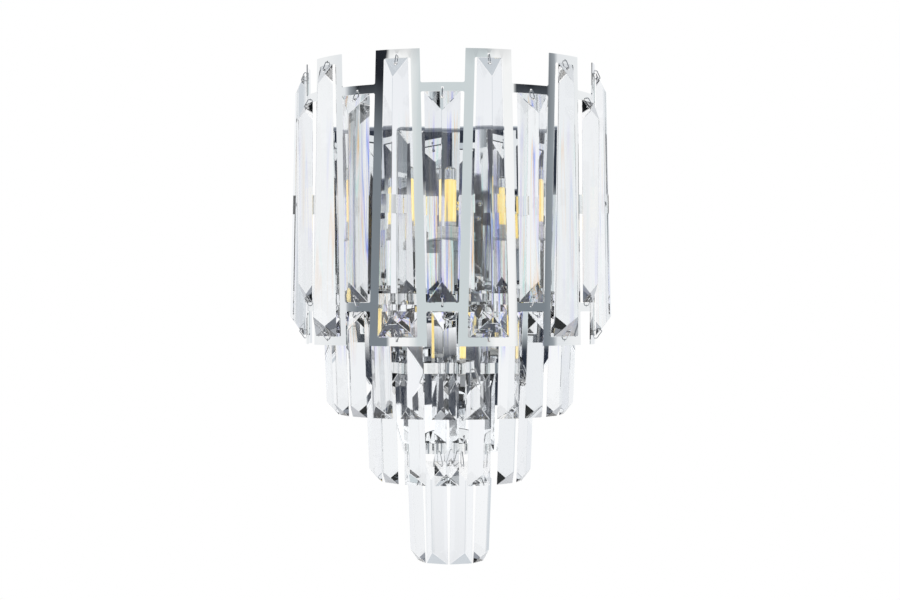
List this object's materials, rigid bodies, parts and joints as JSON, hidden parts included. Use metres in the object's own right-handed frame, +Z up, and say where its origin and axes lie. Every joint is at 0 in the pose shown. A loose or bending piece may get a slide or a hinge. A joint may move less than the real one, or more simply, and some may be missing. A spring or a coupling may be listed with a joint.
{
  "type": "crystal wall sconce",
  "caption": "Wall sconce with a cut-out polished band of tapered glass bars, stepped half rings of hanging glass bars, lamps inside and a flat tray against the wall.",
  "frame": {"origin": "middle of the wall fixings, on the wall plane", "axes": "+X to the right along the wall as seen from the room, +Y into the wall, +Z up"},
  "size_m": [0.3374, 0.1903, 0.5196],
  "materials": {
    "polished_sheet": "mirror-polished stainless sheet",
    "link_wire": "bright bent wire",
    "plated_steel": "zinc-plated steel",
    "lamp_arm": "plated bent strip",
    "lamp_holder": "off-white glazed body",
    "lamp": "yellow light-emitting body under a clear skin",
    "terminal_block": "moulded insulating block",
    "crystal": "cut and polished clear crystal"
  },
  "bodies": {
    "sconce": {"crystal_band": "polished_sheet", "back_tray": "polished_sheet", "cross_strap": "polished_sheet", "upper_ring": "polished_sheet", "middle_ring": "polished_sheet", "lower_ring": "polished_sheet", "dome_nuts": "polished_sheet", "band_top_links": "link_wire", "band_foot_links": "link_wire", "upper_ring_links": "link_wire", "middle_ring_links": "link_wire", "lower_ring_links": "link_wire", "wall_bracket": "plated_steel", "fixing_studs": "plated_steel", "ring_screws": "plated_steel", "band_screws": "plated_steel", "arm_screws": "plated_steel", "lamp_arm_left": "lamp_arm", "lamp_arm_right": "lamp_arm", "lamp_arm_lower": "lamp_arm", "lamp_holder_left": "lamp_holder", "lamp_holder_right": "lamp_holder", "lamp_holder_lower": "lamp_holder", "lamp_left": "lamp", "lamp_right": "lamp", "lamp_lower": "lamp", "terminal_block": "terminal_block", "long_crystal_1": "crystal", "long_crystal_2": "crystal", "long_crystal_3": "crystal", "long_crystal_4": "crystal", "long_crystal_5": "crystal", "long_crystal_6": "crystal", "short_crystal_1": "crystal", "short_crystal_2": "crystal", "short_crystal_3": "crystal", "short_crystal_4": "crystal", "short_crystal_5": "crystal"},
    "upper_bar_1": {"upper_crystal_1": "crystal"},
    "upper_bar_2": {"upper_crystal_2": "crystal"},
    "upper_bar_3": {"upper_crystal_3": "crystal"},
    "upper_bar_4": {"upper_crystal_4": "crystal"},
    "upper_bar_5": {"upper_crystal_5": "crystal"},
    "upper_bar_6": {"upper_crystal_6": "crystal"},
    "upper_bar_7": {"upper_crystal_7": "crystal"},
    "upper_bar_8": {"upper_crystal_8": "crystal"},
    "upper_bar_9": {"upper_crystal_9": "crystal"},
    "upper_bar_10": {"upper_crystal_10": "crystal"},
    "upper_bar_11": {"upper_crystal_11": "crystal"},
    "middle_bar_1": {"middle_crystal_1": "crystal"},
    "middle_bar_2": {"middle_crystal_2": "crystal"},
    "middle_bar_3": {"middle_crystal_3": "crystal"},
    "middle_bar_4": {"middle_crystal_4": "crystal"},
    "middle_bar_5": {"middle_crystal_5": "crystal"},
    "middle_bar_6": {"middle_crystal_6": "crystal"},
    "middle_bar_7": {"middle_crystal_7": "crystal"},
    "lower_bar_1": {"lower_crystal_1": "crystal"},
    "lower_bar_2": {"lower_crystal_2": "crystal"},
    "lower_bar_3": {"lower_crystal_3": "crystal"},
    "lower_bar_4": {"lower_crystal_4": "crystal"}
  },
  "joints": [
    {"name": "upper_bar_1_swing", "type": "hinge", "parent": "sconce", "child": "upper_bar_1", "pos_m": [-0.1222, -0.04555, -0.1181], "axis": [0.1736, -0.9848, 0], "range_deg": [-10, 6]},
    {"name": "upper_bar_2_swing", "type": "hinge", "parent": "sconce", "child": "upper_bar_2", "pos_m": [-0.11153, -0.0784, -0.1181], "axis": [0.4384, -0.8988, 0], "range_deg": [-10, 6]},
    {"name": "upper_bar_3_swing", "type": "hinge", "parent": "sconce", "child": "upper_bar_3", "pos_m": [-0.09221, -0.10703, -0.1181], "axis": [0.6691, -0.7431, 0], "range_deg": [-10, 6]},
    {"name": "upper_bar_4_swing", "type": "hinge", "parent": "sconce", "child": "upper_bar_4", "pos_m": [-0.06575, -0.12923, -0.1181], "axis": [0.848, -0.5299, 0], "range_deg": [-10, 6]},
    {"name": "upper_bar_5_swing", "type": "hinge", "parent": "sconce", "child": "upper_bar_5", "pos_m": [-0.0342, -0.14328, -0.1181], "axis": [0.9613, -0.2756, 0], "range_deg": [-10, 6]},
    {"name": "upper_bar_6_swing", "type": "hinge", "parent": "sconce", "child": "upper_bar_6", "pos_m": [0, -0.14808, -0.1181], "axis": [1, 0, 0], "range_deg": [-10, 6]},
    {"name": "upper_bar_7_swing", "type": "hinge", "parent": "sconce", "child": "upper_bar_7", "pos_m": [0.0342, -0.14328, -0.1181], "axis": [0.9613, 0.2756, 0], "range_deg": [-10, 6]},
    {"name": "upper_bar_8_swing", "type": "hinge", "parent": "sconce", "child": "upper_bar_8", "pos_m": [0.06575, -0.12923, -0.1181], "axis": [0.848, 0.5299, 0], "range_deg": [-10, 6]},
    {"name": "upper_bar_9_swing", "type": "hinge", "parent": "sconce", "child": "upper_bar_9", "pos_m": [0.09221, -0.10703, -0.1181], "axis": [0.6691, 0.7431, 0], "range_deg": [-10, 6]},
    {"name": "upper_bar_10_swing", "type": "hinge", "parent": "sconce", "child": "upper_bar_10", "pos_m": [0.11153, -0.0784, -0.1181], "axis": [0.4384, 0.8988, 0], "range_deg": [-10, 6]},
    {"name": "upper_bar_11_swing", "type": "hinge", "parent": "sconce", "child": "upper_bar_11", "pos_m": [0.1222, -0.04555, -0.1181], "axis": [0.1736, 0.9848, 0], "range_deg": [-10, 6]},
    {"name": "middle_bar_1_swing", "type": "hinge", "parent": "sconce", "child": "middle_bar_1", "pos_m": [-0.07806, -0.04145, -0.1881], "axis": [0.2181, -0.9759, 0], "range_deg": [-10, 6]},
    {"name": "middle_bar_2_swing", "type": "hinge", "parent": "sconce", "child": "middle_bar_2", "pos_m": [-0.06268, -0.07368, -0.1881], "axis": [0.6211, -0.7837, 0], "range_deg": [-10, 6]},
    {"name": "middle_bar_3_swing", "type": "hinge", "parent": "sconce", "child": "middle_bar_3", "pos_m": [-0.03481, -0.09601, -0.1881], "axis": [0.9003, -0.4352, 0], "range_deg": [-10, 6]},
    {"name": "middle_bar_4_swing", "type": "hinge", "parent": "sconce", "child": "middle_bar_4", "pos_m": [0, -0.10398, -0.1881], "axis": [1, 0, 0], "range_deg": [-10, 6]},
    {"name": "middle_bar_5_swing", "type": "hinge", "parent": "sconce", "child": "middle_bar_5", "pos_m": [0.03481, -0.09601, -0.1881], "axis": [0.9003, 0.4352, 0], "range_deg": [-10, 6]},
    {"name": "middle_bar_6_swing", "type": "hinge", "parent": "sconce", "child": "middle_bar_6", "pos_m": [0.06268, -0.07368, -0.1881], "axis": [0.6211, 0.7837, 0], "range_deg": [-10, 6]},
    {"name": "middle_bar_7_swing", "type": "hinge", "parent": "sconce", "child": "middle_bar_7", "pos_m": [0.07806, -0.04145, -0.1881], "axis": [0.2181, 0.9759, 0], "range_deg": [-10, 6]},
    {"name": "lower_bar_1_swing", "type": "hinge", "parent": "sconce", "child": "lower_bar_1", "pos_m": [-0.03491, -0.03846, -0.2731], "axis": [0.3827, -0.9239, 0], "range_deg": [-12, 0]},
    {"name": "lower_bar_2_swing", "type": "hinge", "parent": "sconce", "child": "lower_bar_2", "pos_m": [-0.01446, -0.05891, -0.2731], "axis": [0.9239, -0.3827, 0], "range_deg": [-12, 0]},
    {"name": "lower_bar_3_swing", "type": "hinge", "parent": "sconce", "child": "lower_bar_3", "pos_m": [0.01446, -0.05891, -0.2731], "axis": [0.9239, 0.3827, 0], "range_deg": [-12, 0]},
    {"name": "lower_bar_4_swing", "type": "hinge", "parent": "sconce", "child": "lower_bar_4", "pos_m": [0.03491, -0.03846, -0.2731], "axis": [0.3827, 0.9239, 0], "range_deg": [-12, 0]}
  ]
}
